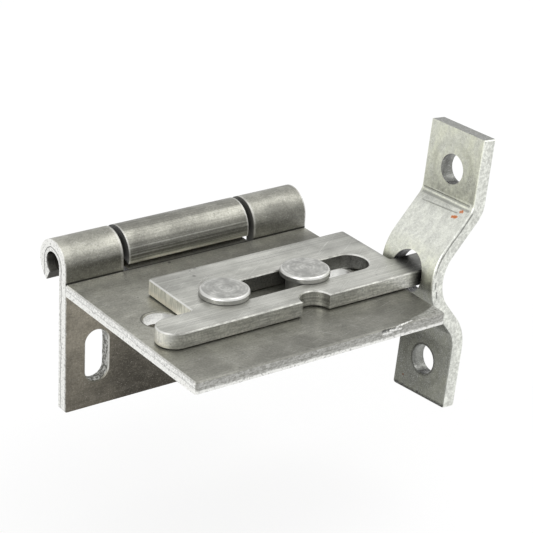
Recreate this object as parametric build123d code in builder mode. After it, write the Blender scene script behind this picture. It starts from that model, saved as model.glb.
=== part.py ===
from build123d import *
from build123d.topology import SkipClean
import math
import os

# Flip lock: a hinged steel flap that carries a sliding bolt, with a loose keeper hooked on the bolt's nose.
# Millimetres. The origin lies on the leaf's mounting face, midway between its two slots.
# +X runs along the hinge towards the keeper, -Y from the mounting face to the front, +Z up.

# Sheet of the leaf and the flap
sheet = 3.0
leaf_width = 70.0
sheet_corner = 0.8
edge_break = 0.3

# Hinge: the leaf's two open end knuckles and the flap's long middle knuckle, rolled round one pin
pin_diameter = 6.0
pin_clearance = 0.05
pin_recess = 2.0
pin_chamfer = 0.4
end_knuckle = 16.0
knuckle_gap = 1.6
leaf_roll = 240.0
flap_roll = 287.0
window_gap = 0.6

# Leaf below the hinge
hinge_height = 24.15
leaf_drop_height = 13.55
slot_spacing = 52.0
slot_length = 13.9
slot_width = 6.4

# Flap
flap_depth = 56.0
stop_gap = 0.1
flap_hole_diameter = 7.8
flap_hole_inset = 9.6
flap_hole_depth = 26.3

# Sliding bolt: a slim bar with a wide middle, notched in front and slotted for the rivets
bolt_thickness = 4.0
bolt_lift = 0.15
bolt_back_margin = 13.8
bolt_left_margin = 14.05
bolt_overhang = 1.35
bolt_width = 27.9
nose_width = 8.8
tail_reach = 12.05
nose_reach = 12.1
nose_corner = 0.6
bolt_corner = 0.8
guide_width = 9.2
guide_left_margin = 6.45
guide_right_margin = 5.15
guide_back_margin = 11.15
notch_radius = 3.9
notch_left_margin = 28.65
bolt_travel = 13.5

# Rivets that guide the bolt
rivet_running_gap = 0.1
rivet_fit_gap = 0.05
rivet_head_radius = 6.05
rivet_head_height = 1.55
rivet_head_slope = 0.2
rivet_head_rim = 0.55
rivet_tenon_radius = 3.0
rivet_tail_radius = 4.4
rivet_tail_height = 0.9

# Keeper: a strap bent by hand to a hat, with a fixing hole in each tab and the bolt's hole in the hump
keeper_thickness = 3.8
keeper_width = 18.5
keeper_half_length = 34.5
keeper_depth = 10.3
hump_radius = 13.0
upper_slope = 39.4
lower_slope = 44.8
upper_bend_radius = 3.5
lower_bend_radius = 7.8
keeper_corner = 0.8
keeper_edge = 0.6
keeper_hole_diameter = 7.5
keeper_hole_spacing = 49.5
keeper_end_skew = 1.7
bolt_hole_diameter = 10.5

# How the loose keeper hangs on the nose
keeper_gap = 2.9
keeper_side_play = 0.12
keeper_drop_play = 0.3
keeper_lean = 6.7
keeper_turn = 3.4
keeper_roll = -2.1

# Places that follow from the sizes
pin_radius = pin_diameter / 2
eye_radius = pin_radius + pin_clearance
barrel_radius = eye_radius + sheet
axis_y = barrel_radius - sheet
axis_z = hinge_height
leaf_left = -leaf_width / 2
leaf_right = leaf_width / 2
leaf_bottom = -leaf_drop_height
window_width = leaf_width - 2 * end_knuckle
window_bottom = axis_z - barrel_radius - window_gap
middle_knuckle = window_width - 2 * knuckle_gap
flap_bottom = axis_z - barrel_radius
flap_top = flap_bottom + sheet
flap_back = -sheet - stop_gap
flap_front = flap_back - flap_depth
bolt_bottom = flap_top + bolt_lift
bolt_top = bolt_bottom + bolt_thickness
bolt_back = flap_back - bolt_back_margin
bolt_front = bolt_back - bolt_width
bolt_left = leaf_left + bolt_left_margin
bolt_right = leaf_right + bolt_overhang
bolt_length = tail_reach + bolt_right - bolt_left + nose_reach
nose_y = bolt_front + nose_width / 2
nose_z = bolt_bottom + bolt_thickness / 2
guide_left = bolt_left + guide_left_margin
guide_right = bolt_right - guide_right_margin
guide_length = guide_right - guide_left
guide_y = bolt_back - guide_back_margin - guide_width / 2
left_rivet_x = guide_left + guide_width / 2
right_rivet_x = guide_right - guide_width / 2 - bolt_travel


def rolled_eye(start, sweep):
    """Section of a sheet's edge rolled round the pin, as a stretch of ring in the YZ plane."""
    with BuildLine() as ring:
        outer = CenterArc((axis_y, axis_z), barrel_radius, start, sweep)
        inner = CenterArc((axis_y, axis_z), eye_radius, start, sweep)
        Line(outer @ 0, inner @ 0)
        Line(outer @ 1, inner @ 1)
    make_face(ring.edges())


def save(piece, label):
    """Names a finished piece and writes it to its own file."""
    piece.part.label = label
    export_step(piece.part, f"parts/{label}.step")


os.makedirs("parts", exist_ok=True)

# Leaf: upright slotted sheet, and at each end of its top edge an open knuckle rolled back over the pin.
# The seam between them is kept, so that the mounting face ends below the barrel.
with BuildPart() as leaf:
    with BuildSketch(Plane.XZ):
        with Locations((0, leaf_bottom)):
            Rectangle(leaf_width, window_bottom - leaf_bottom, align=(Align.CENTER, Align.MIN))
        with GridLocations(slot_spacing, 1, 2, 1):
            SlotOverall(slot_length, slot_width, rotation=90, mode=Mode.SUBTRACT)
    extrude(amount=sheet)
    front = leaf.faces().sort_by(Axis.Y)[0]
    chamfer([edge for rim in front.inner_wires() for edge in rim.edges()], edge_break)
    fillet(leaf.edges().filter_by(Axis.Y).group_by(Axis.Z)[0], sheet_corner)
    for knuckle_left in (leaf_left, leaf_right - end_knuckle):
        with BuildSketch(Plane.YZ.offset(knuckle_left)):
            with Locations((-sheet, window_bottom)):
                Rectangle(sheet, axis_z - window_bottom, align=(Align.MIN, Align.MIN))
            rolled_eye(180, -leaf_roll)
        with SkipClean():
            extrude(amount=end_knuckle)
save(leaf, "leaf")

# Hinge pin, a little shorter than the barrel
with BuildPart() as hinge_pin:
    with BuildSketch(Plane.YZ):
        with Locations((axis_y, axis_z)):
            Circle(pin_radius)
    extrude(amount=leaf_width / 2 - pin_recess, both=True)
    chamfer(hinge_pin.edges().filter_by(GeomType.CIRCLE), pin_chamfer)
save(hinge_pin, "hinge_pin")

# Flap: level plate whose tongue passes under the pin, up behind it and over to its own top face
with BuildPart() as flap_plate:
    with BuildSketch(Plane.XY.offset(flap_bottom)):
        with Locations((0, flap_front)):
            Rectangle(leaf_width, flap_depth, align=(Align.CENTER, Align.MIN))
            Rectangle(middle_knuckle, axis_y - flap_front, align=(Align.CENTER, Align.MIN))
    extrude(amount=sheet)
    fillet(flap_plate.edges().filter_by(Axis.Z).group_by(Axis.Y)[0], sheet_corner)
    with BuildSketch(Plane.YZ.offset(-middle_knuckle / 2)):
        rolled_eye(-90, flap_roll)
    extrude(amount=middle_knuckle)
    with BuildSketch(Plane.XY.offset(flap_bottom)):
        with Locations((left_rivet_x, guide_y), (right_rivet_x, guide_y)):
            Circle(rivet_tenon_radius + rivet_fit_gap)
        with Locations((0, flap_back - flap_hole_depth)):
            with GridLocations(leaf_width - 2 * flap_hole_inset, 1, 2, 1):
                Circle(flap_hole_diameter / 2)
    extrude(amount=sheet, mode=Mode.SUBTRACT)
    level = flap_plate.faces().filter_by(Axis.Z)
    top = level.filter_by(lambda face: abs(face.center().Z - flap_top) < edge_break)
    chamfer(top.edges().filter_by(lambda edge: edge.center().Y < flap_back - sheet), edge_break)
save(flap_plate, "flap_plate")

# Bolt: cut from flat bar, with its guide slot and the half-round notch in its front edge
with BuildPart() as bolt:
    with BuildSketch(Plane.XY.offset(bolt_bottom)):
        with Locations((bolt_left - tail_reach, nose_y)):
            SlotOverall(bolt_length, nose_width, align=(Align.MIN, Align.CENTER))
        with Locations((bolt_left, bolt_front)):
            Rectangle(bolt_right - bolt_left, bolt_width, align=(Align.MIN, Align.MIN))
        with Locations((guide_left, guide_y)):
            SlotOverall(guide_length, guide_width, align=(Align.MIN, Align.CENTER), mode=Mode.SUBTRACT)
        with Locations((bolt_left + notch_left_margin, bolt_front)):
            Circle(notch_radius, mode=Mode.SUBTRACT)
    extrude(amount=bolt_thickness)
    upright = bolt.edges().filter_by(Axis.Z)
    left_step = upright.filter_by(lambda edge: abs(edge.center().X - bolt_left) < edge_break)
    right_step = upright.filter_by(lambda edge: abs(edge.center().X - bolt_right) < edge_break)
    steps = [left_step.sort_by(Axis.Y), right_step.sort_by(Axis.Y)]
    fillet([step[-1] for step in steps], bolt_corner)
    fillet([step[-2] for step in steps], nose_corner)
    chamfer(bolt.faces().sort_by(Axis.Z)[-1].edges(), edge_break)
    chamfer(bolt.faces().sort_by(Axis.Z)[0].edges(), edge_break)
save(bolt, "bolt")

# Rivets: a thin wide head over the bolt, a shoulder in its slot, and a tenon peened under the flap
for side, rivet_x in (("left", left_rivet_x), ("right", right_rivet_x)):
    shoulder_radius = guide_width / 2 - rivet_running_gap
    head_bottom = bolt_top + rivet_running_gap
    head_top = head_bottom + rivet_head_height
    with BuildPart() as rivet:
        with BuildSketch(Plane((rivet_x, guide_y, 0), x_dir=(1, 0, 0), z_dir=(0, -1, 0))):
            with BuildLine():
                Polyline(
                    (0, head_top),
                    (rivet_head_radius - rivet_head_rim, head_top),
                    (rivet_head_radius - rivet_head_slope, head_top - rivet_head_slope),
                    (rivet_head_radius, head_top - rivet_head_rim),
                    (rivet_head_radius, head_bottom),
                    (shoulder_radius, head_bottom),
                    (shoulder_radius, flap_top),
                    (rivet_tenon_radius, flap_top),
                    (rivet_tenon_radius, flap_bottom),
                    (rivet_tail_radius, flap_bottom),
                    (rivet_tenon_radius, flap_bottom - rivet_tail_height),
                    (0, flap_bottom - rivet_tail_height),
                    close=True,
                )
            make_face()
        revolve(axis=Axis((rivet_x, guide_y, 0), (0, 0, 1)))
    save(rivet, f"rivet_{side}")

# Keeper: its seat is the middle of the hump's face, where the nose enters
keeper_seat = Plane(
    Location((leaf_right + keeper_gap, nose_y - keeper_side_play, nose_z + keeper_drop_play))
    * Rotation(0, 0, keeper_turn)
    * Rotation(0, keeper_lean, 0)
    * Rotation(keeper_roll, 0, 0)
)
keeper_side = Plane(keeper_seat.origin, x_dir=keeper_seat.x_dir, z_dir=-keeper_seat.y_dir)
keeper_face = Plane(keeper_seat.origin, x_dir=keeper_seat.y_dir, z_dir=keeper_seat.x_dir)
half_strap = keeper_thickness / 2
tab_x = keeper_depth + half_strap
middle_radius = hump_radius - half_strap


def bend_height(slope):
    """Height above the seat at which a leg of this slope meets the middle of its tab."""
    angle = math.radians(slope)
    return middle_radius / math.sin(angle) + (tab_x - hump_radius) / math.tan(angle)


end_rise = keeper_width / 2 * math.tan(math.radians(keeper_end_skew))
apex_reach = middle_radius / math.cos(math.radians((upper_slope + lower_slope) / 2))
apex_tilt = math.radians((upper_slope - lower_slope) / 2)
with BuildPart() as keeper:
    with BuildSketch(keeper_side):
        with BuildLine():
            FilletPolyline(
                (tab_x, keeper_half_length + 3 * end_rise),
                (tab_x, bend_height(upper_slope)),
                (hump_radius - apex_reach * math.cos(apex_tilt), apex_reach * math.sin(apex_tilt)),
                (tab_x, -bend_height(lower_slope)),
                (tab_x, -keeper_half_length),
                radius=(upper_bend_radius + half_strap, middle_radius, lower_bend_radius + half_strap),
            )
        trace(line_width=keeper_thickness)
    extrude(amount=keeper_width / 2, both=True)
    upper_end = keeper_seat.offset(keeper_half_length + end_rise).rotated((keeper_end_skew, 0, 0))
    split(bisect_by=upper_end, keep=Keep.BOTTOM)
    tab_corners = keeper.edges().filter_by(Axis(keeper_seat.origin, keeper_seat.x_dir))
    fillet(tab_corners, keeper_corner)
    sides = keeper.faces().filter_by(Axis(keeper_seat.origin, keeper_seat.y_dir))
    fillet(sides.edges(), keeper_edge)
    with BuildSketch(keeper_face):
        with GridLocations(1, keeper_hole_spacing, 1, 2):
            Circle(keeper_hole_diameter / 2)
        Circle(bolt_hole_diameter / 2)
    extrude(amount=2 * keeper_depth, both=True, mode=Mode.SUBTRACT)
save(keeper, "keeper")
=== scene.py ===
import math
from functools import reduce
from typing import NamedTuple

import bmesh
import bpy
from bpy.props import FloatProperty, FloatVectorProperty, PointerProperty
from mathutils import Matrix, Vector


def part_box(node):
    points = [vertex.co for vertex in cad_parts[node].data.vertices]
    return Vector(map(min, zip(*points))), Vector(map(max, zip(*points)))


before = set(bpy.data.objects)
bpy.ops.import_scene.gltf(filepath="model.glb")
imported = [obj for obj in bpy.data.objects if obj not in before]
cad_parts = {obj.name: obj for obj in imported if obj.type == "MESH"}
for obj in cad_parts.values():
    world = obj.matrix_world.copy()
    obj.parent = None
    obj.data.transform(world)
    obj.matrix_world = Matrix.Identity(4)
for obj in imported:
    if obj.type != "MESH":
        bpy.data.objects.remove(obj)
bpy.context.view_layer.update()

bl_info = {
    "name": "Flip lock finishes",
    "version": (1, 0, 0),
    "blender": (4, 5, 0),
    "location": "3D View > Sidebar > Flip lock",
    "description": "Steel and zinc finishes, floor, lamps and camera for the flip lock",
    "category": "Material",
}

MM = 0.001
PER_METRE = 1000.0

# The camera that the photograph was taken with, found from the lock's own edges, in metres
CAMERA_PLACE = (-0.251881, -0.376962, 0.228610)
CAMERA_AZIMUTH = 36.3748
CAMERA_ELEVATION = 24.9453
CAMERA_ROLL = 3.1076
CAMERA_FOCAL_PIXELS = 2021.15
PICTURE_PIXELS = 533
SENSOR_WIDTH = 36.0

# The soft lamps, in metres
LAMP_TARGET = (0.0, -0.025, 0.02)
KEY_PLACE, KEY_SIZE = (0.48, -0.24, 0.80), 0.75
FILL_PLACE, FILL_SIZE = (-0.80, -0.35, 0.50), 0.60


def node_box(name):
    """Lowest and highest corners of a CAD node, in millimetres."""
    low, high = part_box(name)
    return low * PER_METRE, high * PER_METRE


# From here on every length is in millimetres, in the frame of the CAD
LEAF_LOW, LEAF_HIGH = node_box("leaf")
PIN_LOW, PIN_HIGH = node_box("hinge_pin")
FLAP_LOW, FLAP_HIGH = node_box("flap_plate")
BOLT_LOW, BOLT_HIGH = node_box("bolt")
KEEPER_LOW, KEEPER_HIGH = node_box("keeper")

# Sheet, pin and barrel
SHEET = -LEAF_LOW.y
PIN_Y = (PIN_LOW.y + PIN_HIGH.y) / 2
PIN_Z = (PIN_LOW.z + PIN_HIGH.z) / 2
EYE_RADIUS = LEAF_HIGH.z - PIN_Z - SHEET
KNUCKLE_INNER = 19.0
TONGUE_END = 17.4
WINDOW_Z = FLAP_LOW.z - 0.6
SLOT_OUTER = 29.2
SLOT_ABOVE = 9.0

# Flap plate, its two round holes, and its swing down to the floor
FLAP_TOP = FLAP_LOW.z + SHEET
PLATE_BACK = LEAF_LOW.y - 0.1
FLAP_HOLE_X = 25.4
FLAP_HOLE_Y = -29.4
FLAP_HOLE_RADIUS = 3.9
FLAP_REACH = max(
    math.hypot(FLAP_LOW.y - PIN_Y, FLAP_LOW.z - PIN_Z),
    math.hypot(KEEPER_LOW.y - PIN_Y, KEEPER_HIGH.z - PIN_Z),
)
FLOOR_Z = PIN_Z - FLAP_REACH - 1.0

# The bolt's sawn left end, its notch, and its guide slot with a little room round it
SAWN_X = -20.5
NOTCH_RIGHT = 14.0
GUIDE_LEFT, GUIDE_RIGHT = -18.0, 33.0
GUIDE_FRONT, GUIDE_REAR = -38.0, -27.3

# The keeper's turn, lean and roll, its middle between the tab holes, and its own parts
KEEPER_TURN = (
    Matrix.Rotation(math.radians(3.4), 3, "Z")
    @ Matrix.Rotation(math.radians(6.7), 3, "Y")
    @ Matrix.Rotation(math.radians(-2.1), 3, "X")
)
KEEPER_AXIS = KEEPER_TURN @ Vector((1.0, 0.0, 0.0))
KEEPER_UP = KEEPER_TURN @ Vector((0.0, 0.0, 1.0))
KEEPER_MIDDLE = Vector((51.8791, -39.6895, 21.9049))
KEEPER_SIDE = -9.25
KEEPER_FOOT = -33.7
TAB_HOLE_RISE = 24.75
TAB_HOLE_RADIUS = 3.75
NOSE_HOLE_RADIUS = 5.25
HUMP_DEPTH = 12.0
HUMP_FOOT_Z, HUMP_MIDDLE_Z = 20.0, 27.0
UPPER_BEND_Z = 39.6

# The painted patch of light at the flap's front right corner: its slanting rim, and the bay in that
# rim
PATCH_START_X, PATCH_SLOPE = 22.2, 0.37
BAY_X, BAY_HALF = 31.0, 4.5

# Marks are rows of start, end, width and raggedness. On the flap's front edge the ends are given
# from the edge's upper line: along it, behind it and above it.
GOUGE = (
    ((16.6, 0.0, -1.2), (19.2, 0.0, -1.35), 0.42, 0.5),
    ((18.6, 0.0, -0.75), (21.6, 0.0, -0.95), 0.4, 0.5),
    ((20.4, 0.0, -0.15), (25.4, 0.55, 0.0), 0.3, 0.4),
)
GOUGE_LIP = (
    ((16.4, 0.0, -0.65), (17.4, 0.0, -0.3), 0.42, 0.6),
    ((17.6, 0.0, -0.35), (20.0, 0.0, -0.45), 0.26, 0.8),
)
DIE_LINES = (
    ((49.57, -30.9, 39.79), (50.45, -46.6, 40.07), 0.42, 0.0),
    ((49.13, -31.2, 38.80), (49.95, -47.2, 39.14), 0.48, 0.0),
    ((47.82, -32.6, 37.43), (48.78, -44.4, 38.05), 0.2, 0.0),
)
RUST_MARKS = (
    ((47.75, -44.0, 37.1), (48.1, -45.2, 37.3), 0.55, 0.35),
    ((49.3, -45.3, 38.5), (49.4, -45.6, 38.6), 0.6, 0.35),
)
# On the keeper's side the ends are given by depth and rise
SIDE_SEAM = (
    ((-4.1, 16.2), (-7.1, 12.3), 0.3, 0.2),
    ((-7.1, 12.3), (-10.3, 8.6), 0.3, 0.2),
    ((-10.3, 8.6), (-12.3, 5.7), 0.26, 0.2),
    ((-12.3, 5.7), (-13.05, 3.75), 0.24, 0.2),
    ((-13.05, 3.75), (-13.35, 1.9), 0.18, 0.2),
    ((-12.95, -0.2), (-12.9, -1.5), 0.34, 0.2),
    ((-12.3, -2.6), (-12.0, -4.0), 0.3, 0.2),
)

# Spots, by point and radius
FLAP_SPOT = ((-6.74, -4.36, FLAP_TOP), 0.45)
BOLT_SPECKS = (
    ((-8.22, -17.24, BOLT_HIGH.z), 0.5),
    ((-10.64, -20.95, BOLT_HIGH.z), 0.55),
    ((-9.96, -18.17, BOLT_HIGH.z), 0.35),
)
RUST_DOT = ((44.18, -35.34, -8.75), 0.3)

# Plain colours that no setting changes
WHITE = (1.0, 1.0, 1.0)
WARM_FRONT = (1.03, 0.955, 0.88)
SAWN_DARK = (0.58, 0.58, 0.49)
SAWN_LIGHT = (0.88, 0.86, 0.75)
SAWN_WARM = (1.0, 0.94, 0.78)

# Depth of one unit of bump height, in millimetres
BUMP = 0.02


def on_front_edge(point):
    """A point given from the upper line of the flap's front edge."""
    return Vector(point) + Vector((0.0, FLAP_LOW.y, FLAP_TOP))


def on_keeper_side(point):
    """A point of the keeper's left side, given by its depth and rise."""
    depth, rise = point
    return KEEPER_MIDDLE + KEEPER_TURN @ Vector((depth, KEEPER_SIDE, rise))


def shade(colour, factor):
    """A colour made darker or lighter."""
    return tuple(min(1.0, channel * factor) for channel in colour)


class Term:
    """One socket in a shader expression.

    Values add Math nodes, vectors add Vector Math nodes and colours add Mix nodes.
    """

    def __init__(self, shader, socket, kind="value"):
        self.shader = shader
        self.socket = socket
        self.kind = kind

    def join(self, operation, first, second=0.0):
        """One operation on two terms, or on a term and a number."""
        kinds = [term.kind for term in (first, second) if isinstance(term, Term)]
        if "colour" in kinds:
            return self.shader.blend(operation, 1.0, first, second)
        settings = {"operation": operation}
        if "vector" in kinds:
            sockets = {0: three(first), 1: three(second)}
            return self.shader.value("ShaderNodeVectorMath", 0, settings, sockets, "vector")
        return self.shader.value("ShaderNodeMath", 0, settings, {0: first, 1: second})

    def __add__(self, other):
        return self.join("ADD", self, other)

    def __radd__(self, other):
        return self.join("ADD", other, self)

    def __sub__(self, other):
        return self.join("SUBTRACT", self, other)

    def __rsub__(self, other):
        return self.join("SUBTRACT", other, self)

    def __mul__(self, other):
        return self.join("MULTIPLY", self, other)

    def __rmul__(self, other):
        return self.join("MULTIPLY", other, self)

    def __abs__(self):
        return self.join("ABSOLUTE", self)

    def sine(self):
        return self.join("SINE", self)

    def root(self):
        return self.join("SQRT", self)

    def larger(self, other):
        return self.join("MAXIMUM", self, other)

    def smaller(self, other):
        return self.join("MINIMUM", self, other)

    def past(self, low, high):
        """0 below low, 1 above high, with a smooth step between them."""
        settings = {"interpolation_type": "SMOOTHSTEP"}
        sockets = {"Value": self, "From Min": low, "From Max": high}
        return self.shader.value("ShaderNodeMapRange", "Result", settings, sockets)

    def until(self, low, high):
        """1 below low, 0 above high, with a smooth step between them."""
        return 1.0 - self.past(low, high)

    def near(self, level, half):
        """1 close to a level, 0 from half a band's width away."""
        return abs(self - level).until(half * 0.5, half)

    def part(self, axis):
        """One coordinate of a vector."""
        return self.shader.value("ShaderNodeSeparateXYZ", "XYZ".index(axis), {}, {0: self})

    def measure(self, operation, other=(0.0, 0.0, 0.0)):
        """A vector operation that gives a value, such as a distance."""
        sockets = {0: self, 1: other}
        return self.shader.value("ShaderNodeVectorMath", "Value", {"operation": operation}, sockets)


def three(value):
    """A number as a vector of three equal parts; anything else as it is."""
    return (value, value, value) if isinstance(value, (int, float)) else value


def four(value):
    """A number or colour as the four channels of a colour socket; a term as it is."""
    return value if isinstance(value, Term) else (*three(value), 1.0)


def span(first, second):
    """Distance from the axis on which both terms are 0."""
    return (first * first + second * second).root()


def largest(masks):
    """The strongest of several masks at each point."""
    return reduce(Term.larger, masks)


class Shader:
    """The node tree of one material or of the world."""

    def __init__(self, owner):
        owner.use_nodes = True
        self.owner = owner
        self.tree = owner.node_tree
        self.tree.nodes.clear()

    def node(self, kind, settings=None, sockets=None):
        """Adds a node: its settings first, then the values or links of its sockets."""
        made = self.tree.nodes.new(kind)
        for name, value in (settings or {}).items():
            setattr(made, name, value)
        for name, value in (sockets or {}).items():
            if isinstance(value, Term):
                self.tree.links.new(value.socket, made.inputs[name])
            else:
                made.inputs[name].default_value = value
        return made

    def value(self, kind, output, settings=None, sockets=None, form="value"):
        """Adds a node and returns one of its outputs."""
        return Term(self, self.node(kind, settings, sockets).outputs[output], form)

    def blend(self, operation, factor, first, second):
        """Colours through a Mix node."""
        settings = {"data_type": "RGBA", "blend_type": operation}
        sockets = {0: factor, 6: four(first), 7: four(second)}
        return self.value("ShaderNodeMix", 2, settings, sockets, "colour")

    def mix(self, factor, first, second):
        """The first colour, or as much of the second as the factor says."""
        return self.blend("MIX", factor, first, second)

    def toned(self, colour, value):
        """A plain colour made lighter or darker from place to place."""
        return self.blend("MULTIPLY", 1.0, colour, value)


class Metal(Shader):
    """A metal finish in the coordinates of the lock, in millimetres."""

    def __init__(self, name):
        super().__init__(bpy.data.materials.new(name))
        self.place = self.value("ShaderNodeTexCoord", "Object", form="vector") * PER_METRE
        self.x, self.y, self.z = (self.place.part(axis) for axis in "XYZ")
        self.outward = self.value("ShaderNodeTexCoord", "Normal", form="vector")
        self.facing = {axis: self.outward.part(axis) for axis in "XYZ"}

    def endwise(self):
        """1 on faces that look along the hinge."""
        return abs(self.facing["X"]).past(0.6, 0.8)

    def edgewise(self, axis):
        """1 on walls at right angles to the faces that look along this axis."""
        return abs(self.facing[axis]).until(0.2, 0.4)

    def grain(self, size, turn=0.0, detail=2.0, seed=0.0, distortion=0.0):
        """Noise with cells of this size in millimetres along X, Y and Z, turned about Z."""
        sockets = {
            "Vector": self.place,
            "Location": (seed, seed, seed),
            "Rotation": (0.0, 0.0, math.radians(turn)),
            "Scale": three(size),
        }
        laid = self.value("ShaderNodeMapping", 0, {"vector_type": "TEXTURE"}, sockets, "vector")
        sockets = {"Vector": laid, "Scale": 1.0, "Detail": detail, "Distortion": distortion}
        return self.value("ShaderNodeTexNoise", 0, {}, sockets)

    def scratches(self, turn, length, width, rarity, seed):
        """Sparse fine scratches that run one way."""
        grain = self.grain((length, width, width), turn, 1.0, seed)
        return grain.past(rarity, rarity + 0.06)

    def spot(self, point, radius, ragged=0.0):
        """1 within a round spot, with a soft or ragged rim."""
        distance = self.place.measure("DISTANCE", point)
        if ragged:
            distance = distance + (self.grain(radius) - 0.5) * (2 * ragged * radius)
        return distance.until(0.55 * radius, 1.1 * radius)

    def stroke(self, start, end, width, ragged):
        """1 along a fine straight mark between two points, with a soft or ragged rim."""
        run = end - start
        along = self.place - start
        share = along.measure("DOT_PRODUCT", run / run.length_squared).larger(0.0).smaller(1.0)
        sockets = {0: run, "Scale": share}
        foot = self.value("ShaderNodeVectorMath", 0, {"operation": "SCALE"}, sockets, "vector")
        gap = along.measure("DISTANCE", foot)
        if ragged:
            gap = gap + (self.grain(0.45, detail=3.0) - 0.5) * (4 * ragged * width)
        return gap.until(0.3 * width, width)

    def strokes(self, rows, place=Vector):
        """1 along any of several marks, whose ends are turned into points by place."""
        return largest([
            self.stroke(place(start), place(end), width, ragged)
            for start, end, width, ragged in rows
        ])

    def finish(self, colour, roughness, height, metallic=1.0):
        """Closes the tree with its metal and a bump, and returns the material."""
        sockets = {"Height": height, "Distance": BUMP * MM, "Strength": 1.0}
        normal = self.value("ShaderNodeBump", "Normal", {}, sockets, "vector")
        metal = self.value("ShaderNodeBsdfPrincipled", "BSDF", {}, {
            "Base Color": colour, "Roughness": roughness, "Metallic": metallic, "Normal": normal,
        })
        self.node("ShaderNodeOutputMaterial", {}, {"Surface": metal})
        return self.owner


class Marks(NamedTuple):
    """What use and cutting leave on a sheet, with painted shade in seams and recesses and painted
    highlights on edges and hole walls.
    """

    colour: Term
    height: Term
    wear_and_edge_highlight: Term
    tarnish_and_shade: Term
    grime_and_painted_shade: Term
    bare_bore_highlight: Term


class RolledSheet(Metal):
    """Plain rolled sheet: grey skin with clouds, rolling lines and scratches, sheared edges."""

    line_depth = 0.5
    line_strength = 0.3

    def cut_edge(self, light, dark):
        """Sheared face: bright and pitted, torn on one side of a thin dark line along it, with
        painted shade on the end faces in the knuckle gaps.
        """
        wander = (self.grain(5.0, detail=3.0, seed=3.0) - 0.5) * 0.4
        level = self.depth() + wander
        line = level.near(self.line_depth, 0.06)
        torn = level.past(self.line_depth, self.line_depth + 0.05)
        speckle = self.grain(0.4, detail=4.0).past(0.38, 0.62)
        pits = self.grain(0.6, detail=4.0, seed=16.0).past(0.54, 0.66)
        combed = self.grain(0.5, detail=4.0, seed=5.0).past(0.3, 0.7)
        burnished = self.mix(combed, shade(light, 0.88), light)
        rough = self.mix(speckle, shade(light, 0.72), light)
        colour = self.mix(torn, rough, burnished)
        colour = self.mix(pits * 0.68, colour, dark)
        # Painted shade: end faces in the knuckle gaps drawn nearly black
        gap_shade = self.endwise() * abs(self.x).until(LEAF_HIGH.x - 2.0, LEAF_HIGH.x - 1.0)
        gap_shade = gap_shade * self.z.past(WINDOW_Z - 1.0, WINDOW_Z - 0.5)
        colour = self.mix(gap_shade * 0.85, colour, shade(dark, 0.12))
        return self.mix(line * self.line_strength, colour, shade(dark, 0.4))

    def dress(self, settings):
        """The finished material of the leaf or the flap."""
        sheet, bright = settings.sheet_colour, settings.cut_colour
        cloud = self.grain(11.0, detail=4.0, distortion=0.6).past(0.36, 0.66)
        patches = self.grain(3.2, detail=3.0, seed=7.0).past(0.4, 0.7)
        pores = self.grain(0.42, detail=4.0, seed=1.0)
        lines = self.grain((26.0, 0.5, 0.5), detail=2.0, seed=2.0)
        value = self.painted_shading() * (0.76 + 0.28 * cloud + 0.14 * patches)
        value = value * (0.48 + 1.04 * pores) * (0.84 + 0.32 * lines)
        skin = self.toned(sheet, value)
        stains = self.grain(1.5, detail=4.0, seed=41.0, distortion=1.0).past(0.56, 0.72)
        skin = self.mix(stains * 0.35, skin, shade(sheet, 0.4))
        fine = self.scratches(18.0, 9.0, 0.18, 0.66, 4.0)
        fine = fine.larger(self.scratches(-52.0, 6.0, 0.16, 0.67, 9.0))
        skin = self.mix(fine * 0.3, skin, shade(bright, 0.7))

        marks = self.marks(settings, skin)
        # Bare cut faces, wear and painted edge highlights take the sheared look; then tarnish and
        # painted shade, grime and painted shade, and a painted highlight on bare hole walls
        bare = self.cut().larger(marks.wear_and_edge_highlight)
        colour = self.mix(bare, marks.colour, self.cut_edge(bright, shade(bright, 0.4)))
        colour = self.mix(marks.tarnish_and_shade, colour, shade(sheet, 0.5))
        colour = self.mix(marks.grime_and_painted_shade, colour, shade(sheet, 0.08))
        colour = self.mix(marks.bare_bore_highlight * (0.35 + 0.5 * cloud), colour, bright)
        roughness = settings.sheet_roughness + 0.12 * (0.5 - cloud)
        roughness = roughness + 0.2 * (pores - 0.5) + 0.12 * bare - 0.2 * marks.bare_bore_highlight
        height = marks.height + pores * 1.2 + lines * 0.8 + cloud * 2.0
        metallic = 0.9 - 0.35 * bare * (1.0 - marks.bare_bore_highlight)
        return self.finish(colour, roughness, height, metallic)


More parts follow.
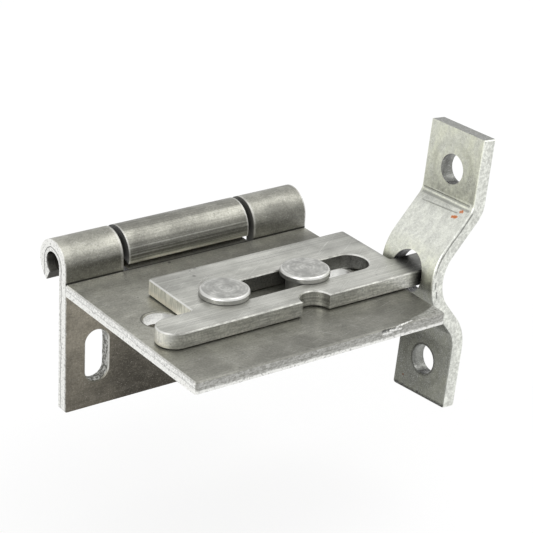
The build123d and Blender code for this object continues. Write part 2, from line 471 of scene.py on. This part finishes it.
class LeafSheet(RolledSheet):
    """The leaf: an upright front darkened by painted shade, lighter knuckles, and bright ends with
    a painted arris highlight.
    """

    line_depth = 0.32
    line_strength = 0.85

    def depth(self):
        """0 on the leaf's back and inside its eyes, 1 on its front and outside the barrel."""
        over = self.z.larger(PIN_Z) - PIN_Z
        return (span(over, self.y - PIN_Y) - EYE_RADIUS) * (1.0 / SHEET)

    def cut(self):
        """The leaf's ends, bottom, window and slot walls."""
        walls = self.edgewise("Y") * self.z.until(WINDOW_Z, WINDOW_Z + 0.1)
        return self.endwise().larger(walls)

    def painted_shading(self):
        """Painted shade: darker on the upright front under the flap, most of all low down and away
        from its left end, and on the barrel's front flank.
        """
        front = self.facing["Y"].until(-0.9, -0.6) * self.z.until(WINDOW_Z, PIN_Z)
        down = self.z.until(LEAF_LOW.z, WINDOW_Z)
        inward = abs(self.x).until(14.0, LEAF_HIGH.x)
        right = self.x.past(-5.0, 5.0)
        flank = self.facing["Z"].until(0.15, 0.65) * self.z.past(FLAP_TOP - 0.3, FLAP_TOP + 0.3)
        barrel = (1.0 - 0.2 * right) * (1.0 - flank * (0.52 - 0.34 * right))
        return (1.04 - front * (0.28 + 0.28 * down + 0.28 * inward)) * barrel

    def marks(self, settings, colour):
        """Rubs on a warm front, chipped slot walls, bright ends with a painted arris highlight, and
        painted shade along the flap's stop seam, on the window's bottom edge and inside the rolled
        tips.
        """
        bright = settings.cut_colour
        aside = abs(self.x)
        rub = self.grain((9.0, 2.5, 1.6), detail=4.0, seed=12.0).past(0.48, 0.72)
        colour = self.mix(rub * 0.10, colour, shade(bright, 0.5))
        front = self.facing["Y"].until(-0.9, -0.6)
        colour = colour * self.mix(front * self.z.until(WINDOW_Z, FLAP_TOP), WHITE, WARM_FRONT)

        wander = (self.grain(0.8, detail=3.0, seed=18.0) - 0.5) * 0.6
        # Bright bare ends, with a painted arris highlight along the leaf's ends
        ends = (aside + wander).past(LEAF_HIGH.x - 0.45, LEAF_HIGH.x - 0.1)
        knuckles = (aside + wander).until(KNUCKLE_INNER + 0.25, KNUCKLE_INNER + 0.9)
        knuckles = knuckles * self.z.past(FLAP_TOP, FLAP_TOP + 2.0)

        chips = self.grain(0.7, detail=4.0, seed=52.0).past(0.42, 0.58)
        slots = aside.until(SLOT_OUTER + 0.4, SLOT_OUTER + 0.8) * self.edgewise("Y")
        slots = slots * self.z.until(SLOT_ABOVE, SLOT_ABOVE + 1.0)
        # Painted shade: the knuckle window's bottom edge drawn dark
        window = aside.until(KNUCKLE_INNER + 0.1, KNUCKLE_INNER + 0.2)
        window = window * self.z.past(WINDOW_Z - 0.5, WINDOW_Z - 0.3)

        # Painted shade: a dark line on the front along the flap's stop seam, and the inside of the
        # roll's tip
        stop_seam_shade = front * self.z.near(FLAP_TOP + 0.1, 0.3)
        stop_seam_shade = stop_seam_shade * aside.past(KNUCKLE_INNER - 0.5, KNUCKLE_INNER)
        curl_shade = self.facing["Z"].until(-0.5, -0.3) * self.y.past(PIN_Y, PIN_Y + 0.5)
        curl_shade = curl_shade * self.depth().until(0.85, 0.95) * self.z.past(WINDOW_Z - 2.5, WINDOW_Z - 1.5)
        return Marks(
            colour=colour,
            height=rub * 0.5 - slots * chips * 6.0,
            wear_and_edge_highlight=ends * 0.6 + knuckles * 0.35,
            tarnish_and_shade=(slots * (0.4 + 0.58 * chips)).larger(window * 0.6),
            grime_and_painted_shade=largest([slots * chips * 0.3, stop_seam_shade * 0.8, curl_shade * 0.75]),
            bare_bore_highlight=0.0,
        )


class FlapSheet(RolledSheet):
    """The flap: painted lighter at the back left and banded round its barrel with painted light and
    shade, with drawn lines round its barrel.
    """

    def barrel(self):
        """1 on the rolled tongue, 0 on the flat plate."""
        return self.z.past(FLAP_TOP + 0.2, FLAP_TOP + 1.0)

    def depth(self):
        """0 on the flap's top and inside its eye, 1 on its underside and outside the barrel."""
        flat = self.z.until(FLAP_TOP, FLAP_TOP + 0.1) * self.y.until(PIN_Y - 0.1, PIN_Y)
        level = (self.y - PIN_Y) * (1.0 - flat)
        return (span(self.z - PIN_Z, level) - EYE_RADIUS) * (1.0 / SHEET)

    def cut(self):
        """The flap's edges and hole walls, and the tongue's ends."""
        walls = self.edgewise("Z") * self.y.until(PLATE_BACK, PLATE_BACK + 0.1)
        return self.endwise().larger(walls)

    def painted_shading(self):
        """Painted light and shade: lighter at the back left and in a strip along the back edge,
        darker to the front right, and banded round the barrel by the way it faces.
        """
        upward = self.facing["Z"]
        barrel = self.barrel()
        right = self.x.past(LEAF_LOW.x, LEAF_HIGH.x)
        front = self.y.until(FLAP_LOW.y, FLAP_LOW.y + 22.0)
        rear = self.y.past(PLATE_BACK - 5.9, PLATE_BACK - 0.4)
        plate = (1.05 - 0.36 * right) * (1.0 - 0.2 * front) * (1.0 + 0.9 * rear)
        crown = upward.past(0.9, 0.93)
        flank = upward.until(0.48, 0.85)
        under = upward.until(-0.35, -0.05)
        rolled = 1.08 * (1.0 - 0.25 * crown) * (1.0 - 0.38 * flank) * (1.0 + 1.6 * under)
        return plate * (1.0 - barrel) + rolled * barrel

    def bores(self):
        """Walls of the two round holes, which are given a painted highlight on their bare metal."""
        reach = span(abs(self.x) - FLAP_HOLE_X, self.y - FLAP_HOLE_Y)
        near = reach.until(FLAP_HOLE_RADIUS + 0.1, FLAP_HOLE_RADIUS + 0.2)
        return near * self.edgewise("Z") * self.z.past(FLAP_LOW.z - 0.2, FLAP_LOW.z)

    def painted_corner_light(self):
        """Painted light: a speckled light patch with a curved rim at the front right corner."""
        speckled = self.grain(0.5, detail=4.0, seed=44.0).past(0.36, 0.6)
        slant = (self.y - FLAP_LOW.y) - PATCH_SLOPE * (self.x - PATCH_START_X)
        bay = (self.x - BAY_X) * (1.0 / BAY_HALF)
        patch = (slant + 0.7 - 0.7 * bay * bay).until(-0.2, 0.45) * self.x.past(25.0, 27.5)
        return patch * (0.22 + 0.4 * speckled)

    def painted_hole_rim_shade(self):
        """Painted shade: a dark rim on the left and front of the left hole, where the hole's edge
        rolls down.
        """
        aside = self.x + FLAP_HOLE_X
        ahead = self.y - FLAP_HOLE_Y
        ring = span(aside, ahead).near(FLAP_HOLE_RADIUS + 0.25, 0.45)
        ring = ring * self.facing["Z"].past(0.6, 0.9)
        return ring * (aside * 0.8 - ahead * 0.5).until(-2.4, 0.0)

    def marks(self, settings, colour):
        """Wear of the plate, a painted patch of light at the front right corner, painted shade
        round the left hole and along the stop seam, drawn lines on the barrel, painted arris
        highlights on the sides and tongue ends, and a tarnished and gouged front edge.
        """
        sheet, bright = settings.sheet_colour, settings.cut_colour
        colour = self.mix(self.painted_corner_light(), colour, shade(bright, 0.75))
        colour = self.mix(self.painted_hole_rim_shade() * 0.7, colour, shade(sheet, 0.2))
        spots = self.spot(*FLAP_SPOT, 0.3)
        spots = spots.larger(self.grain(0.9, detail=1.0, seed=21.0).past(0.74, 0.8))
        colour = self.mix(spots * 0.7, colour, shade(sheet, 0.25))

        barrel = self.barrel()
        drawn = self.grain((70.0, 0.35, 0.35), detail=4.0, seed=8.0)
        low_side = self.z.until(PIN_Z + 0.85, PIN_Z + 3.85)
        dull = barrel * (1.0 - drawn.past(0.4, 0.6)) * (0.25 + 0.35 * low_side)
        colour = self.mix(dull, colour, shade(sheet, 0.2))
        shiny = barrel * low_side * drawn.past(0.56, 0.64) * 0.5
        colour = self.mix(shiny, colour, shade(bright, 0.7))

        gouge = self.strokes(GOUGE, on_front_edge)
        lip = self.strokes(GOUGE_LIP, on_front_edge) * (1.0 - gouge)
        wander = (self.grain(0.8, detail=3.0, seed=18.0) - 0.5) * 0.5
        # Bright bare edges, with a painted arris highlight on the tongue's ends and the plate's
        # sides
        ends = (abs(self.x) + wander).past(TONGUE_END - 0.6, TONGUE_END - 0.15) * barrel
        sides = (abs(self.x) + wander).past(FLAP_HIGH.x - 0.4, FLAP_HIGH.x - 0.1)
        front = (self.y + wander * 1.6).until(FLAP_LOW.y + 0.3, FLAP_LOW.y + 0.8)
        plate = (1.0 - barrel) * self.y.until(PLATE_BACK - 0.4, PLATE_BACK)
        wear_and_edge_highlight = ends * 0.4 + plate * (sides * 0.45).larger(front * 0.12)

        smears = self.grain((1.1, 0.8, 0.5), detail=4.0, seed=33.0).past(0.42, 0.6)
        drift = (self.grain((3.0, 1.0, 1.0), detail=3.0, seed=35.0) - 0.5) * 0.5
        skinned = (self.z + drift).past(FLAP_LOW.z + 0.5, FLAP_LOW.z + 0.95)
        edge = plate * self.y.until(FLAP_LOW.y + 0.2, FLAP_LOW.y + 0.5)
        tarnish = edge * skinned * (0.54 + 0.26 * smears) * (1.0 - gouge) * (1.0 - lip)
        # Painted shade: a dark line along the plate's back edge, at the seam with the leaf
        stop_seam_shade = self.y.near(PLATE_BACK, 0.28) * self.facing["Z"].past(0.5, 0.7) * (1.0 - barrel)
        return Marks(
            colour=colour,
            height=drawn * barrel * 2.5 - gouge * 5.0 - lip * 8.0,
            wear_and_edge_highlight=wear_and_edge_highlight.larger(gouge * 0.85),
            tarnish_and_shade=tarnish,
            grime_and_painted_shade=(lip * 0.85).larger(stop_seam_shade * 0.8),
            bare_bore_highlight=self.bores(),
        )


class BoltBar(Metal):
    """The bolt's cold-drawn bar: lines along it, milled walls, a sawn end and dark specks."""

    def skin(self, settings, lines, fine_lines, cloud, pores):
        """The drawn faces."""
        value = (0.80 + 0.18 * cloud) * (0.52 + 0.96 * lines)
        value = value * (0.76 + 0.48 * fine_lines) * (0.82 + 0.36 * pores)
        return self.toned(settings.bar_colour, value)

    def sawn_end(self, colour, sawn):
        """Upright saw lines on the wide middle's left end, warmer low down."""
        lines = self.grain((0.45, 0.45, 4.0), detail=3.0, seed=51.0).past(0.36, 0.64)
        warm = self.z.until(BOLT_LOW.z + 0.6, BOLT_LOW.z + 2.0)
        cut_end = self.mix(lines, SAWN_DARK, SAWN_LIGHT)
        cut_end = self.mix(warm * 0.7, cut_end, SAWN_WARM)
        return self.mix(sawn * 0.9, colour, cut_end)

    def dress(self, settings):
        """The finished material of the bolt."""
        bar = settings.bar_colour
        lines = self.grain((30.0, 0.45, 0.45), detail=3.0, seed=2.0)
        fine_lines = self.grain((12.0, 0.16, 0.16), detail=2.0, seed=6.0)
        cloud = self.grain(7.0, detail=3.0, seed=4.0).past(0.35, 0.68)
        pores = self.grain(0.3, detail=3.0)
        skin = self.skin(settings, lines, fine_lines, cloud, pores)

        walls = self.edgewise("Z")
        combed = self.grain((5.0, 5.0, 0.5), detail=4.0, seed=5.0).past(0.35, 0.65)
        pitted = self.grain(0.5, detail=4.0, seed=15.0).past(0.36, 0.6)
        milled = self.mix(combed, shade(bar, 0.72), shade(bar, 1.12))
        milled = self.mix((1.0 - pitted) * 0.45, milled, shade(bar, 0.4))
        colour = self.mix(walls, skin, milled)

        # Painted shade: the walls inside the guide slot drawn darker
        guide = self.x.past(GUIDE_LEFT, GUIDE_LEFT + 0.5)
        guide = guide * self.x.until(GUIDE_RIGHT - 1.0, GUIDE_RIGHT) * walls
        guide = guide * self.y.past(GUIDE_FRONT, GUIDE_FRONT + 0.4)
        guide = guide * self.y.until(GUIDE_REAR - 0.4, GUIDE_REAR)
        colour = colour * (1.0 - guide * (0.45 + 0.2 * combed))

        # Painted shade on the nose, which runs under the keeper's hump; a darker strip along the
        # rear of the top; the front wall beyond the notch drawn lighter, and darker near the nose
        # in the keeper's painted shade
        nose = self.x.past(LEAF_HIGH.x - 0.5, LEAF_HIGH.x + 3.0)
        rear = self.y.past(GUIDE_REAR - 0.2, GUIDE_REAR + 3.3) * (1.0 - walls)
        rear = rear * (self.x.until(-10.0, 0.0) + self.x.past(NOTCH_RIGHT, NOTCH_RIGHT + 10.0))
        front_wall = walls * self.facing["Y"].until(-0.95, -0.8)
        front_wall = front_wall * self.x.past(NOTCH_RIGHT, NOTCH_RIGHT + 9.0)
        painted_shading = (1.0 - 0.62 * nose) * (1.0 - 0.22 * rear)
        colour = colour * (painted_shading * (1.0 + front_wall * (0.5 - 0.8 * nose)))

        sawn = self.facing["X"].until(-0.9, -0.7) * self.x.until(SAWN_X, SAWN_X + 0.5)
        colour = self.sawn_end(colour, sawn)
        tail = self.x.until(BOLT_LOW.x + 1.0, BOLT_LOW.x + 4.0) * walls
        colour = self.mix(tail * (0.7 - 0.4 * pitted), colour, shade(bar, 0.85))

        # Painted shade: the top chamfers darkened, with chips, to damp their lamp highlight; the
        # left end's chamfers take the bright cut colour
        arris = self.facing["Z"].past(0.3, 0.5) * self.facing["Z"].until(0.85, 0.95)
        end_arris = self.facing["X"].until(-0.6, -0.3)
        chipped = self.grain(1.6, detail=3.0, seed=25.0).past(0.35, 0.6)
        colour = colour * (1.0 - arris * (1.0 - end_arris) * (0.42 - 0.3 * chipped))
        colour = self.mix(arris * end_arris * 0.6, colour, settings.cut_colour)

        fine = self.scratches(35.0, 7.0, 0.14, 0.66, 14.0)
        colour = self.mix(fine * 0.3, colour, settings.cut_colour)
        specks = [self.spot(point, radius, 0.4) for point, radius in BOLT_SPECKS]
        specks = largest([self.grain(0.7, detail=1.0, seed=31.0).past(0.75, 0.8), *specks])
        colour = self.mix(specks * 0.65, colour, shade(bar, 0.25))
        roughness = settings.bar_roughness + 0.2 * (lines - 0.5) + 0.12 * (0.5 - cloud)
        height = lines * 1.2 + fine_lines * 0.5 + pores * 0.5
        return self.finish(colour, roughness, height, 0.95 - 0.3 * sawn)


class TurnedRivet(Metal):
    """Turned rivet: rings round its axis, a painted highlight round its rim, a dull pip and a plain
    shank.
    """

    ring_spacing = 0.95

    def dress(self, settings, node):
        """The finished material of one rivet."""
        low, high = node_box(node)
        head = (high.x - low.x) / 2
        radius = span(self.x - (low.x + high.x) / 2, self.y - (low.y + high.y) / 2)
        wander = (self.grain(2.0, detail=2.0) - 0.5) * 0.5
        rings = (radius + wander) * (2 * math.pi / self.ring_spacing)
        turned = rings.sine() * 0.5 + 0.5
        cloud = self.grain(2.4, detail=3.0, seed=3.0).past(0.35, 0.68)
        pores = self.grain(0.3, detail=3.0, seed=1.0)
        top = self.facing["Z"].past(0.9, 0.97)
        value = (0.80 + 0.24 * cloud) * (0.82 + 0.3 * turned * top * cloud)
        value = value * (0.78 + 0.44 * pores)
        skin = self.toned(settings.rivet_colour, value)
        # Painted highlight: the rim drawn in the bright cut colour all round
        rim = radius.past(head - 0.75, head - 0.4) * self.facing["Z"].past(0.2, 0.5)
        colour = self.mix(rim * 0.55, skin, settings.cut_colour)
        pip = radius.until(0.25, 0.55)
        colour = self.mix(pip * 0.4, colour, shade(settings.rivet_colour, 0.5))
        roughness = settings.rivet_roughness + 0.12 * (0.5 - cloud)
        return self.finish(colour, roughness, turned * top * 1.6 + pores * 0.6, 0.92)


class DrawnPin(Metal):
    """Drawn pin, painted near black with darker ends as shade for the pin sunk in the eye."""

    def dress(self, settings):
        """The finished material of the hinge pin."""
        lines = self.grain((12.0, 0.25, 0.25), detail=2.0)
        grime_and_shade = self.grain(1.2, detail=3.0, seed=4.0).past(0.35, 0.65)
        # Painted shade: the end faces drawn darker still
        ends = abs(self.facing["X"]).past(0.5, 0.8)
        value = (0.7 + 0.6 * lines) * (1.0 - 0.35 * ends) * (0.75 + 0.35 * grime_and_shade)
        colour = self.toned(settings.pin_colour, value)
        return self.finish(colour, settings.pin_roughness + 0.2 * (grime_and_shade - 0.5), lines + grime_and_shade)


class ZincPlate(Metal):
    """The keeper's zinc: mottled pale skin, die lines, a seam in its side and a little rust."""

    def reach(self, rise):
        """Distance from the axis of the hole at this rise."""
        aside = self.place - (KEEPER_MIDDLE + KEEPER_UP * rise)
        return aside.join("CROSS_PRODUCT", aside, KEEPER_AXIS).measure("LENGTH")

    def bores(self, upper, lower, nose):
        """Walls of the keeper's three holes, from the distances to their axes."""
        walls = upper.smaller(lower).until(TAB_HOLE_RADIUS + 0.05, TAB_HOLE_RADIUS + 0.35)
        walls = walls.larger(nose.until(NOSE_HOLE_RADIUS + 0.05, NOSE_HOLE_RADIUS + 0.35))
        square = self.outward.measure("DOT_PRODUCT", KEEPER_AXIS)
        return walls * abs(square).until(0.3, 0.5)

    def painted_shading(self, mottle, crystals, pores):
        """Painted shade in the bores, darkest in the nose hole under the hump, on the lower front
        faces and just under the upper bend, and a painted dark rim round the lower tab hole; darker
        ends, sides and foot, and a stained ring round each tab hole.
        """
        upper, lower, nose = (self.reach(rise) for rise in (TAB_HOLE_RISE, -TAB_HOLE_RISE, 0.0))
        bore = self.bores(upper, lower, nose)
        tabs = self.facing["X"].until(-0.97, -0.9)
        shaded = self.facing["X"].until(-0.7, -0.5)
        sides = abs(self.facing["Y"]).past(0.6, 0.9) * (1.0 - bore)
        ends = abs(self.facing["Z"]).past(0.93, 0.97)
        value = (0.76 + 0.15 * mottle + 0.13 * crystals) * (0.70 + 0.54 * pores)
        value = value * (1.0 - 0.18 * sides * (1.0 - crystals)) * (1.0 - 0.66 * ends)
        value = value * (1.0 - 0.08 * self.facing["Z"].past(0.4, 0.6))

        # Painted shade: the bores drawn dark, darker still in the nose hole under the hump
        hump = KEEPER_MIDDLE - KEEPER_AXIS * HUMP_DEPTH
        grime_and_shade = self.place.measure("DISTANCE", hump).until(8.5, 9.5)
        value = value * (1.0 - bore * (0.66 + 0.2 * mottle)) * (1.0 - 0.85 * grime_and_shade * bore)

        # Painted shade on the faces that look to the front, below the hump and under the upper bend
        low = self.z.until(HUMP_FOOT_Z, HUMP_MIDDLE_Z)
        right = self.y.until(-49.0, -40.0)
        value = value * (1.0 - 0.12 * tabs) * (1.0 - low * shaded * (0.74 - 0.09 * right))
        under_bend = self.z.past(UPPER_BEND_Z - 3.6, UPPER_BEND_Z - 1.1)
        under_bend = under_bend * self.z.until(UPPER_BEND_Z - 0.4, UPPER_BEND_Z)
        under_bend = under_bend * self.y.past(-47.0, -38.0)
        value = value * (1.0 - 0.28 * under_bend * shaded)

        rise = (self.place - KEEPER_MIDDLE).measure("DOT_PRODUCT", KEEPER_UP)
        foot = (rise + 0.5 * mottle).until(KEEPER_FOOT, KEEPER_FOOT + 0.8)
        stain = upper.smaller(lower).near(TAB_HOLE_RADIUS + 2.6, 1.1)
        # Painted shade: a dark rim round the lower tab hole
        rim = lower.near(TAB_HOLE_RADIUS + 0.1, 0.5)
        value = value * (1.0 - 0.7 * foot * shaded)
        value = value * (1.0 - stain * tabs * (0.03 + 0.14 * mottle))
        return value * (1.0 - rim * tabs * (0.35 + 0.3 * crystals))

    def dress(self, settings):
        """The finished material of the keeper."""
        zinc = settings.zinc_colour
        mottle = self.grain((2.2, 2.2, 5.0), detail=4.0, distortion=0.3).past(0.34, 0.68)
        crystals = self.grain(0.8, detail=3.0, seed=5.0).past(0.35, 0.68)
        pores = self.grain(0.35, detail=4.0, seed=1.0)
        red, green, blue = shade(zinc, 0.99)
        faces = self.facing["X"].until(-0.97, -0.6)
        skin = self.mix(faces * (0.5 + 0.5 * mottle), zinc, (red, green, 0.90 * blue))
        skin = skin * self.painted_shading(mottle, crystals, pores)
        fine = self.scratches(70.0, 5.0, 0.14, 0.64, 4.0)
        fine = fine.larger(self.scratches(10.0, 6.0, 0.14, 0.66, 8.0))
        colour = self.mix(fine * 0.3, skin, shade(zinc, 1.25))

        lines = self.strokes(DIE_LINES) * self.facing["X"].until(-0.6, -0.4)
        colour = self.mix(lines * 0.7, colour, shade(zinc, 0.3))
        seam = self.strokes(SIDE_SEAM, on_keeper_side) * self.facing["Y"].until(-0.9, -0.5)
        colour = self.mix(seam * 0.7, colour, shade(zinc, 0.12))
        rust = self.strokes(RUST_MARKS)
        colour = self.mix(rust * 0.95, colour, settings.rust_colour)
        dot = self.spot(*RUST_DOT)
        colour = self.mix(dot * 0.9, colour, shade(settings.rust_colour, 0.25))
        roughness = settings.zinc_roughness + 0.14 * (mottle - 0.5) + 0.25 * rust
        height = crystals * 0.5 + pores * 0.6 + mottle * 0.6 - lines * 3.0
        return self.finish(colour, roughness, height, 1.0 - 0.8 * rust)


def colour_property(name, description, default):
    """A colour that the user can change."""
    return FloatVectorProperty(name=name, description=description, subtype="COLOR", size=3,
                               min=0.0, max=1.0, default=default)


def share_property(name, description, default):
    """A number from 0 to 1 that the user can change."""
    return FloatProperty(name=name, description=description, subtype="FACTOR",
                         min=0.0, max=1.0, default=default)


def power_property(name, description, default):
    """A lamp's power that the user can change."""
    return FloatProperty(name=name, description=description, unit="POWER",
                         min=0.0, default=default)


class FlipLockMetals(bpy.types.PropertyGroup):
    """Colours and roughness of the lock's metals."""

    sheet_colour: colour_property("Sheet", "Skin of the leaf and flap", (0.335, 0.331, 0.29))
    sheet_roughness: share_property("Sheet roughness", "Roughness of the leaf and flap", 0.42)
    cut_colour: colour_property("Cut edges", "Sheared and worn bright edges", (0.84, 0.84, 0.81))
    bar_colour: colour_property("Bolt", "Skin of the bolt's bar", (0.53, 0.53, 0.49))
    bar_roughness: share_property("Bolt roughness", "Roughness of the bolt", 0.36)
    rivet_colour: colour_property("Rivets", "Skin of the rivets", (0.50, 0.50, 0.475))
    rivet_roughness: share_property("Rivet roughness", "Roughness of the rivets", 0.36)
    # The hinge pin's near black colour is painted shade for the shaded eye it sits in
    pin_colour: colour_property("Pin", "Skin of the hinge pin", (0.07, 0.063, 0.055))
    pin_roughness: share_property("Pin roughness", "Roughness of the hinge pin", 0.42)
    zinc_colour: colour_property("Keeper", "Zinc on the keeper", (0.86, 0.875, 0.81))
    zinc_roughness: share_property("Keeper roughness", "Roughness of the zinc", 0.34)
    rust_colour: colour_property("Rust", "Rust specks on the keeper", (0.50, 0.13, 0.015))


class FlipLockStage(bpy.types.PropertyGroup):
    """Floor and light."""

    floor_colour: colour_property("Floor", "Colour of the floor", (0.97, 0.97, 0.97))
    floor_glow: share_property("Floor white", "Share of plain white that lightens the shadow", 0.75)
    floor_size: FloatProperty(name="Floor size", description="Side of the square floor",
                              unit="LENGTH", min=1.0, default=8.0)
    ambient: FloatProperty(name="Ambient", description="Strength of the soft light from all round",
                           min=0.0, max=2.0, default=0.84)
    key_power: power_property("Key lamp", "Power of the large lamp", 2.6)
    fill_power: power_property("Fill lamp", "Power of the fill lamp", 3.0)


def wear(node, material):
    """Gives a CAD node its material."""
    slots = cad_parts[node].data.materials
    slots.clear()
    slots.append(material)


class FinishSheet(bpy.types.Operator):
    """Give the leaf and the flap their rolled sheet and sheared edges"""

    bl_idname = "fliplock.finish_sheet"
    bl_label = "Finish sheet"

    def execute(self, context):
        wear("leaf", LeafSheet("leaf sheet").dress(context.scene.flip_lock_metals))
        wear("flap_plate", FlapSheet("flap sheet").dress(context.scene.flip_lock_metals))
        return {"FINISHED"}


class FinishPin(bpy.types.Operator):
    """Give the hinge pin its dull drawn steel"""

    bl_idname = "fliplock.finish_pin"
    bl_label = "Finish pin"

    def execute(self, context):
        wear("hinge_pin", DrawnPin("hinge pin").dress(context.scene.flip_lock_metals))
        return {"FINISHED"}


class FinishBolt(bpy.types.Operator):
    """Give the bolt its drawn bar, milled walls and sawn end"""

    bl_idname = "fliplock.finish_bolt"
    bl_label = "Finish bolt"

    def execute(self, context):
        wear("bolt", BoltBar("drawn bar").dress(context.scene.flip_lock_metals))
        return {"FINISHED"}


class FinishRivets(bpy.types.Operator):
    """Give both rivets their turned heads"""

    bl_idname = "fliplock.finish_rivets"
    bl_label = "Finish rivets"

    def execute(self, context):
        for node in ("rivet_left", "rivet_right"):
            metal = TurnedRivet(node.replace("_", " "))
            wear(node, metal.dress(context.scene.flip_lock_metals, node))
        return {"FINISHED"}


class FinishKeeper(bpy.types.Operator):
    """Give the keeper its zinc plate, die lines, seam and rust"""

    bl_idname = "fliplock.finish_keeper"
    bl_label = "Finish keeper"

    def execute(self, context):
        wear("keeper", ZincPlate("zinc plate").dress(context.scene.flip_lock_metals))
        return {"FINISHED"}


def seen_directly(shader):
    """1 for what the camera sees, also by reflection or through glass."""
    return largest([
        shader.value("ShaderNodeLightPath", f"Is {ray} Ray")
        for ray in ("Camera", "Glossy", "Transmission")
    ])


def add_floor(settings):
    """Square pale floor, just below the whole swing of the flap."""
    mesh = bpy.data.meshes.new("floor")
    form = bmesh.new()
    bmesh.ops.create_grid(form, x_segments=4, y_segments=4, size=settings.floor_size / 2)
    form.to_mesh(mesh)
    form.free()
    floor = bpy.data.objects.new("floor", mesh)
    bpy.context.scene.collection.objects.link(floor)
    floor.location.z = FLOOR_Z * MM
    paper = Shader(bpy.data.materials.new("floor paper"))
    matt = paper.value("ShaderNodeBsdfPrincipled", 0, {}, {
        "Base Color": four(settings.floor_colour), "Roughness": 1.0, "Specular IOR Level": 0.0,
    })
    white = paper.value("ShaderNodeEmission", 0, {}, {"Color": four(WHITE), "Strength": 1.0})
    sockets = {0: seen_directly(paper) * settings.floor_glow, 1: matt, 2: white}
    both = paper.value("ShaderNodeMixShader", 0, {}, sockets)
    paper.node("ShaderNodeOutputMaterial", {}, {"Surface": both})
    mesh.materials.append(paper.owner)


def add_world(settings):
    """White wherever it is seen or mirrored, a softer light elsewhere."""
    world = bpy.data.worlds.new("studio")
    bpy.context.scene.world = world
    sky = Shader(world)
    strength = seen_directly(sky) * (1.0 - settings.ambient) + settings.ambient
    sockets = {"Color": four(WHITE), "Strength": strength}
    light = sky.value("ShaderNodeBackground", 0, {}, sockets)
    sky.node("ShaderNodeOutputWorld", {}, {"Surface": light})


def add_lamp(name, place, size, power):
    """Square soft lamp that points at the lock."""
    light = bpy.data.lights.new(name, "AREA")
    light.size = size
    light.energy = power
    lamp = bpy.data.objects.new(name, light)
    bpy.context.scene.collection.objects.link(lamp)
    lamp.location = place
    aim = Vector(LAMP_TARGET) - Vector(place)
    lamp.rotation_euler = aim.to_track_quat("-Z", "Y").to_euler()


def add_camera():
    """Camera at the photograph's place, angle and lens."""
    azimuth, elevation = math.radians(CAMERA_AZIMUTH), math.radians(CAMERA_ELEVATION)
    level_share = math.cos(elevation)
    ahead = Vector((
        math.sin(azimuth) * level_share, math.cos(azimuth) * level_share, -math.sin(elevation),
    ))
    level = Vector((math.cos(azimuth), -math.sin(azimuth), 0.0))
    above = level.cross(ahead)
    roll = math.radians(CAMERA_ROLL)
    right = level * math.cos(roll) + above * math.sin(roll)
    up = above * math.cos(roll) - level * math.sin(roll)
    lens = bpy.data.cameras.new("camera")
    lens.sensor_width = SENSOR_WIDTH
    lens.lens = SENSOR_WIDTH * CAMERA_FOCAL_PIXELS / PICTURE_PIXELS
    lens.clip_start = 0.01
    camera = bpy.data.objects.new("camera", lens)
    bpy.context.scene.collection.objects.link(camera)
    turn = Matrix((right, up, -ahead)).transposed().to_4x4()
    camera.matrix_world = Matrix.Translation(CAMERA_PLACE) @ turn
    bpy.context.scene.camera = camera


class BuildStage(bpy.types.Operator):
    """Add the floor, the soft lamps, the white surroundings and the camera"""

    bl_idname = "fliplock.build_stage"
    bl_label = "Build stage"

    def execute(self, context):
        settings = context.scene.flip_lock_stage
        add_floor(settings)
        add_world(settings)
        add_lamp("key lamp", KEY_PLACE, KEY_SIZE, settings.key_power)
        add_lamp("fill lamp", FILL_PLACE, FILL_SIZE, settings.fill_power)
        add_camera()
        context.scene.view_settings.view_transform = "Standard"
        return {"FINISHED"}


class FlipLockPanel(bpy.types.Panel):
    """Sidebar panel with the lock's finishes and stage"""

    bl_idname = "VIEW3D_PT_flip_lock"
    bl_label = "Flip lock"
    bl_space_type = "VIEW_3D"
    bl_region_type = "UI"
    bl_category = "Flip lock"

    def draw(self, context):
        for group in (context.scene.flip_lock_metals, context.scene.flip_lock_stage):
            for name in group.bl_rna.properties.keys():
                if name not in ("rna_type", "name"):
                    self.layout.prop(group, name)
        for step in STEPS:
            self.layout.operator(step.bl_idname)


STEPS = (FinishSheet, FinishPin, FinishBolt, FinishRivets, FinishKeeper, BuildStage)
CLASSES = (FlipLockMetals, FlipLockStage, *STEPS, FlipLockPanel)


def register():
    """Adds the settings, the operators and the panel."""
    for each in CLASSES:
        bpy.utils.register_class(each)
    bpy.types.Scene.flip_lock_metals = PointerProperty(type=FlipLockMetals)
    bpy.types.Scene.flip_lock_stage = PointerProperty(type=FlipLockStage)


def unregister():
    """Takes away what register adds."""
    del bpy.types.Scene.flip_lock_stage
    del bpy.types.Scene.flip_lock_metals
    for each in reversed(CLASSES):
        bpy.utils.unregister_class(each)


def main():
    """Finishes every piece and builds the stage."""
    register()
    for step in STEPS:
        group, name = step.bl_idname.split(".")
        getattr(getattr(bpy.ops, group), name)()


if __name__ == "__main__":
    main()
